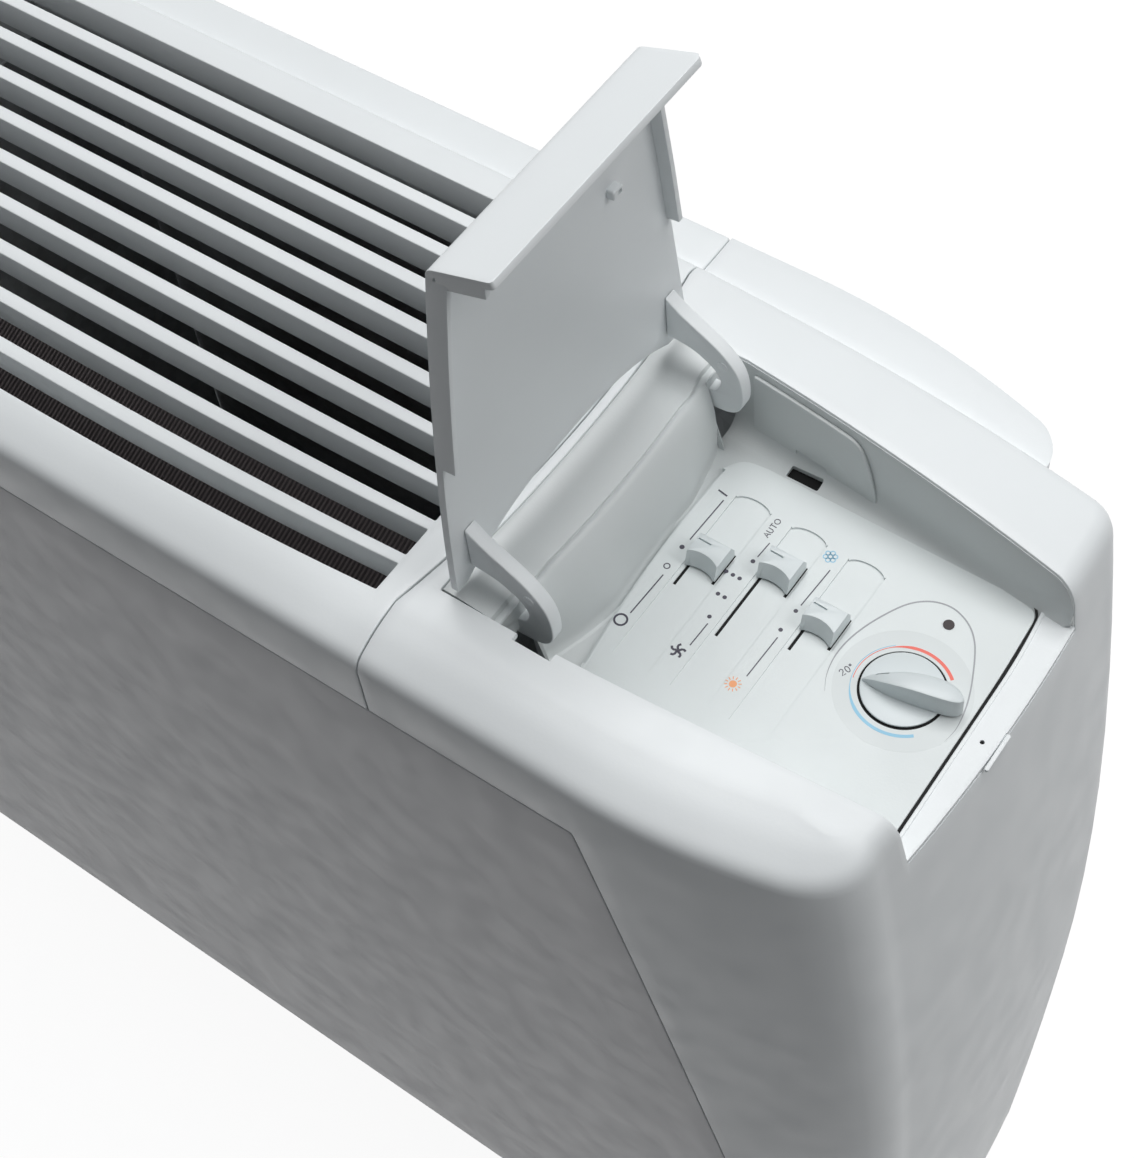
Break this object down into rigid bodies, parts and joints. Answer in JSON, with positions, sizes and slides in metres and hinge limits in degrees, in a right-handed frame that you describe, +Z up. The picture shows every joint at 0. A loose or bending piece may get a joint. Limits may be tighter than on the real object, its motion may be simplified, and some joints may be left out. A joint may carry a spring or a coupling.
{
  "type": "fan coil unit",
  "caption": "Floor standing fan coil unit: rounded cabinet with a slotted top outlet, an open control flap over sliders and a dial, and fans, coil and filter inside.",
  "frame": {"origin": "middle of the footprint on the floor", "axes": "+X towards the end with the controls, +Y towards the wall, +Z up"},
  "size_m": [0.7828, 0.23, 0.802],
  "materials": {
    "shell_plastic": "satin moulded plastic, cool white",
    "panel_plastic": "fine matt moulded plastic, pale grey",
    "knob_plastic": "satin moulded plastic, pale grey",
    "painted_sheet": "satin powder coat, pale grey",
    "foot_plastic": "matt moulded plastic, pale grey",
    "galvanised": "galvanised sheet",
    "dark_plastic": "matt black plastic",
    "aluminium": "plain fin stock",
    "copper": "plain tube",
    "board_green": "lacquered laminate",
    "lens_red": "clear moulded lens",
    "mesh_cloth": "woven filter cloth"
  },
  "bodies": {
    "cabinet": {"right_end_cap": "shell_plastic", "left_end_cap": "shell_plastic", "top_grille": "shell_plastic", "front_panel": "painted_sheet", "rear_rail_middle": "shell_plastic", "rear_rail_right": "shell_plastic", "rear_rail_left": "shell_plastic", "control_tub": "shell_plastic", "control_fascia": "panel_plastic", "circuit_board": "board_green", "slide_switch_1": "dark_plastic", "slide_switch_2": "dark_plastic", "slide_switch_3": "dark_plastic", "thermostat_body": "dark_plastic", "indicator_lens": "lens_red", "hinge_pin_front": "galvanised", "hinge_pin_rear": "galvanised", "back_plate": "galvanised", "side_plate_right": "galvanised", "side_plate_left": "galvanised", "foot_right": "foot_plastic", "foot_left": "foot_plastic", "fan_deck": "galvanised", "fan_scroll_right": "galvanised", "fan_scroll_left": "galvanised", "fan_motor": "galvanised", "motor_cradle": "galvanised", "coil_fins": "aluminium", "coil_end_right": "galvanised", "coil_end_left": "galvanised", "return_bend_1": "copper", "return_bend_2": "copper", "return_bend_3": "copper", "return_bend_4": "copper", "flow_pipe": "copper", "return_pipe": "copper", "flow_pipe_bracket": "galvanised", "return_pipe_bracket": "galvanised", "air_vent": "galvanised", "drip_tray": "dark_plastic", "control_box": "galvanised", "terminal_block": "dark_plastic", "cable_gland": "dark_plastic", "filter_rail_right": "galvanised", "filter_rail_left": "galvanised"},
    "flap": {"flap": "shell_plastic", "hinge_arm_front": "shell_plastic", "hinge_arm_rear": "shell_plastic"},
    "power_slider": {"power_slider": "knob_plastic"},
    "speed_slider": {"speed_slider": "knob_plastic"},
    "season_slider": {"season_slider": "knob_plastic"},
    "knob": {"thermostat_knob": "knob_plastic"},
    "rotor": {"motor_shaft": "galvanised", "blower_wheel_right": "dark_plastic", "blower_wheel_left": "dark_plastic"},
    "filter": {"filter_frame": "dark_plastic", "filter_mesh_left": "mesh_cloth", "filter_mesh_right": "mesh_cloth"},
    "vent_screw": {"air_vent_screw": "galvanised"}
  },
  "joints": [
    {"name": "flap_hinge", "type": "hinge", "parent": "cabinet", "child": "flap", "pos_m": [0.208, 0, 0.637], "axis": [0, 1, 0], "range_deg": [0, 96]},
    {"name": "power_slide", "type": "slide", "parent": "cabinet", "child": "power_slider", "axis": [0, -1, 0], "range_m": [0, 0.0096]},
    {"name": "speed_slide", "type": "slide", "parent": "cabinet", "child": "speed_slider", "axis": [0, -1, 0], "range_m": [0, 0.0288]},
    {"name": "season_slide", "type": "slide", "parent": "cabinet", "child": "season_slider", "axis": [0, -1, 0], "range_m": [0, 0.0096]},
    {"name": "knob_turn", "type": "hinge", "parent": "cabinet", "child": "knob", "pos_m": [0.33, -0.009, 0.611], "axis": [0, 0, 1], "range_deg": [-125, 125]},
    {"name": "rotor_spin", "type": "hinge", "parent": "cabinet", "child": "rotor", "pos_m": [0, -0.02, 0.168], "axis": [1, 0, 0], "continuous": true},
    {"name": "filter_slide", "type": "slide", "parent": "cabinet", "child": "filter", "axis": [0, -1, 0], "range_m": [0, 0.15]},
    {"name": "vent_screw_turn", "type": "hinge", "parent": "cabinet", "child": "vent_screw", "pos_m": [-0.194, -0.05, 0.5135], "axis": [0, 0, 1], "range_deg": [0, 180]}
  ]
}
